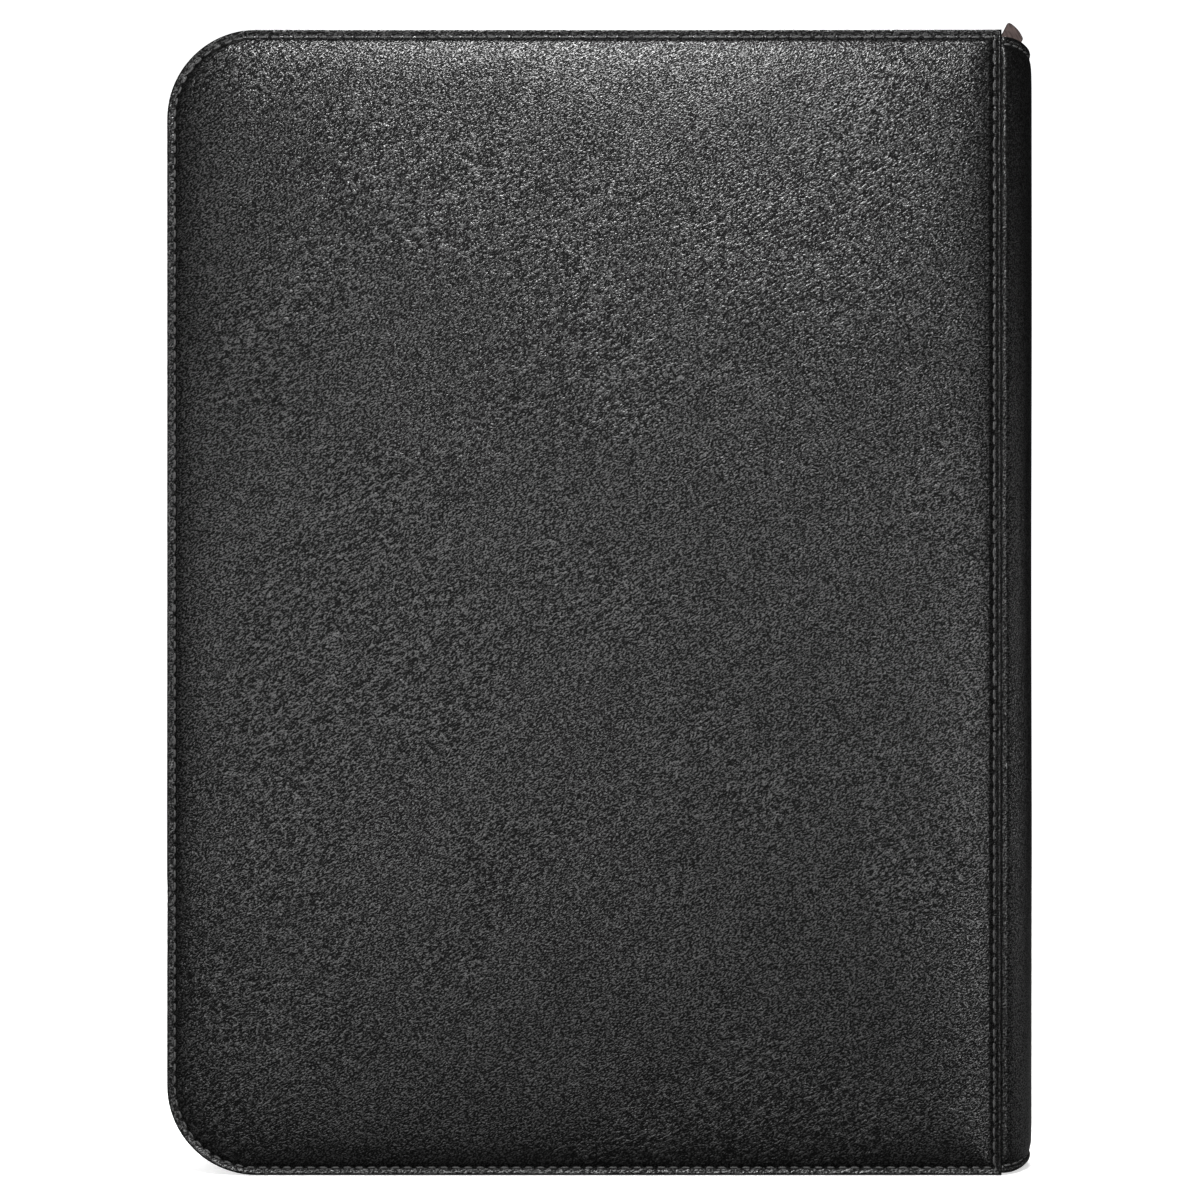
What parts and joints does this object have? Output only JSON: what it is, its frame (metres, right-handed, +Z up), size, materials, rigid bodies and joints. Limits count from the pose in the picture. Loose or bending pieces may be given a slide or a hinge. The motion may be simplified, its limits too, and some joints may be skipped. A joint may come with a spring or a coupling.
{
  "type": "zippered trading card binder",
  "caption": "Zip-around padded card binder with a rounded spine, hinged covers, side-loading pocket leaves and a metal pull.",
  "frame": {"origin": "centre of the footprint of the closed, standing binder, at the covers' bottom edges", "axes": "+X from the fore edge to the spine, +Y from the back cover to the front cover, +Z up the spine"},
  "size_m": [0.2664, 0.04, 0.3555],
  "materials": {
    "leatherette": "black pebble-grained leatherette with a soft sheen",
    "foam": "soft dark padding foam",
    "board": "grey-brown stiffening board",
    "lining": "black woven lining",
    "thread": "black twisted thread",
    "zip_tape": "black ribbed zipper tape",
    "zip_coil": "black nylon coil",
    "slider_metal": "dark gunmetal plating",
    "pull_metal": "brown-grey gunmetal plating with bright edges",
    "binding": "black plastic binding bar",
    "page_sheet": "black matte page sheet",
    "page_film": "clear pocket film"
  },
  "bodies": {
    "spine": {"spine_skin": "leatherette", "spine_stiffener": "board", "spine_lining": "lining", "spine_stitching": "thread", "binding_strip": "binding", "zip_end_tape_top": "zip_tape", "zip_end_tape_bottom": "zip_tape", "zip_end_coils": "zip_coil", "zip_stops": "slider_metal"},
    "back_cover": {"back_skin": "leatherette", "back_foam_pad": "foam", "back_board": "board", "back_lining": "lining", "back_stitching": "thread", "back_zip_tape": "zip_tape", "back_zip_coil": "zip_coil"},
    "front_cover": {"front_skin": "leatherette", "front_foam_pad": "foam", "front_board": "board", "front_lining": "lining", "front_stitching": "thread", "front_zip_tape": "zip_tape", "front_zip_coil": "zip_coil"},
    "zip_slider": {"slider_body": "slider_metal", "slider_cap": "slider_metal"},
    "pull_ring": {"pull_ring": "pull_metal"},
    "pull_tab": {"pull_tab": "pull_metal"},
    "leaf_pair_01": {"leaf_pair_01_sheets": "page_sheet", "leaf_pair_01_pockets": "page_film"},
    "leaf_pair_02": {"leaf_pair_02_sheets": "page_sheet", "leaf_pair_02_pockets": "page_film"},
    "leaf_pair_03": {"leaf_pair_03_sheets": "page_sheet", "leaf_pair_03_pockets": "page_film"},
    "leaf_pair_04": {"leaf_pair_04_sheets": "page_sheet", "leaf_pair_04_pockets": "page_film"},
    "leaf_pair_05": {"leaf_pair_05_sheets": "page_sheet", "leaf_pair_05_pockets": "page_film"},
    "leaf_pair_06": {"leaf_pair_06_sheets": "page_sheet", "leaf_pair_06_pockets": "page_film"},
    "leaf_pair_07": {"leaf_pair_07_sheets": "page_sheet", "leaf_pair_07_pockets": "page_film"},
    "leaf_pair_08": {"leaf_pair_08_sheets": "page_sheet", "leaf_pair_08_pockets": "page_film"},
    "leaf_pair_09": {"leaf_pair_09_sheets": "page_sheet", "leaf_pair_09_pockets": "page_film"},
    "leaf_pair_10": {"leaf_pair_10_sheets": "page_sheet", "leaf_pair_10_pockets": "page_film"}
  },
  "joints": [
    {"name": "back_cover_hinge", "type": "hinge", "parent": "spine", "child": "back_cover", "pos_m": [0.12195, -0.02, 0.175], "axis": [0, 0, 1], "range_deg": [0, 90]},
    {"name": "front_cover_hinge", "type": "hinge", "parent": "spine", "child": "front_cover", "pos_m": [0.12195, 0.02, 0.175], "axis": [0, 0, -1], "range_deg": [0, 90]},
    {"name": "zip_slide", "type": "slide", "parent": "spine", "child": "zip_slider", "axis": [-1, 0, 0], "range_m": [0, 0.212]},
    {"name": "ring_hinge", "type": "hinge", "parent": "zip_slider", "child": "pull_ring", "pos_m": [0.1191, 0, 0.34405], "axis": [0, -1, 0], "range_deg": [0, 100]},
    {"name": "pull_hinge", "type": "hinge", "parent": "pull_ring", "child": "pull_tab", "pos_m": [0.12442, 0, 0.34499], "axis": [0, -1, 0], "range_deg": [-15, 20]},
    {"name": "leaf_pair_01_turn", "type": "hinge", "parent": "spine", "child": "leaf_pair_01", "pos_m": [0.1145, -0.01188, 0.175], "axis": [0, 0, 1], "range_deg": [0, 81]},
    {"name": "leaf_pair_02_turn", "type": "hinge", "parent": "spine", "child": "leaf_pair_02", "pos_m": [0.1145, -0.00924, 0.175], "axis": [0, 0, 1], "range_deg": [0, 63]},
    {"name": "leaf_pair_03_turn", "type": "hinge", "parent": "spine", "child": "leaf_pair_03", "pos_m": [0.1145, -0.0066, 0.175], "axis": [0, 0, 1], "range_deg": [0, 45]},
    {"name": "leaf_pair_04_turn", "type": "hinge", "parent": "spine", "child": "leaf_pair_04", "pos_m": [0.1145, -0.00396, 0.175], "axis": [0, 0, 1], "range_deg": [0, 27]},
    {"name": "leaf_pair_05_turn", "type": "hinge", "parent": "spine", "child": "leaf_pair_05", "pos_m": [0.1145, -0.00132, 0.175], "axis": [0, 0, 1], "range_deg": [0, 9]},
    {"name": "leaf_pair_06_turn", "type": "hinge", "parent": "spine", "child": "leaf_pair_06", "pos_m": [0.1145, 0.00132, 0.175], "axis": [0, 0, -1], "range_deg": [0, 9]},
    {"name": "leaf_pair_07_turn", "type": "hinge", "parent": "spine", "child": "leaf_pair_07", "pos_m": [0.1145, 0.00396, 0.175], "axis": [0, 0, -1], "range_deg": [0, 27]},
    {"name": "leaf_pair_08_turn", "type": "hinge", "parent": "spine", "child": "leaf_pair_08", "pos_m": [0.1145, 0.0066, 0.175], "axis": [0, 0, -1], "range_deg": [0, 45]},
    {"name": "leaf_pair_09_turn", "type": "hinge", "parent": "spine", "child": "leaf_pair_09", "pos_m": [0.1145, 0.00924, 0.175], "axis": [0, 0, -1], "range_deg": [0, 63]},
    {"name": "leaf_pair_10_turn", "type": "hinge", "parent": "spine", "child": "leaf_pair_10", "pos_m": [0.1145, 0.01188, 0.175], "axis": [0, 0, -1], "range_deg": [0, 81]}
  ],
  "couplings": [
    {"joint": "leaf_pair_01_turn", "follows": "back_cover_hinge", "ratio": 0.9},
    {"joint": "leaf_pair_02_turn", "follows": "back_cover_hinge", "ratio": 0.7},
    {"joint": "leaf_pair_03_turn", "follows": "back_cover_hinge", "ratio": 0.5},
    {"joint": "leaf_pair_04_turn", "follows": "back_cover_hinge", "ratio": 0.3},
    {"joint": "leaf_pair_05_turn", "follows": "back_cover_hinge", "ratio": 0.1},
    {"joint": "leaf_pair_06_turn", "follows": "front_cover_hinge", "ratio": 0.1},
    {"joint": "leaf_pair_07_turn", "follows": "front_cover_hinge", "ratio": 0.3},
    {"joint": "leaf_pair_08_turn", "follows": "front_cover_hinge", "ratio": 0.5},
    {"joint": "leaf_pair_09_turn", "follows": "front_cover_hinge", "ratio": 0.7},
    {"joint": "leaf_pair_10_turn", "follows": "front_cover_hinge", "ratio": 0.9}
  ]
}
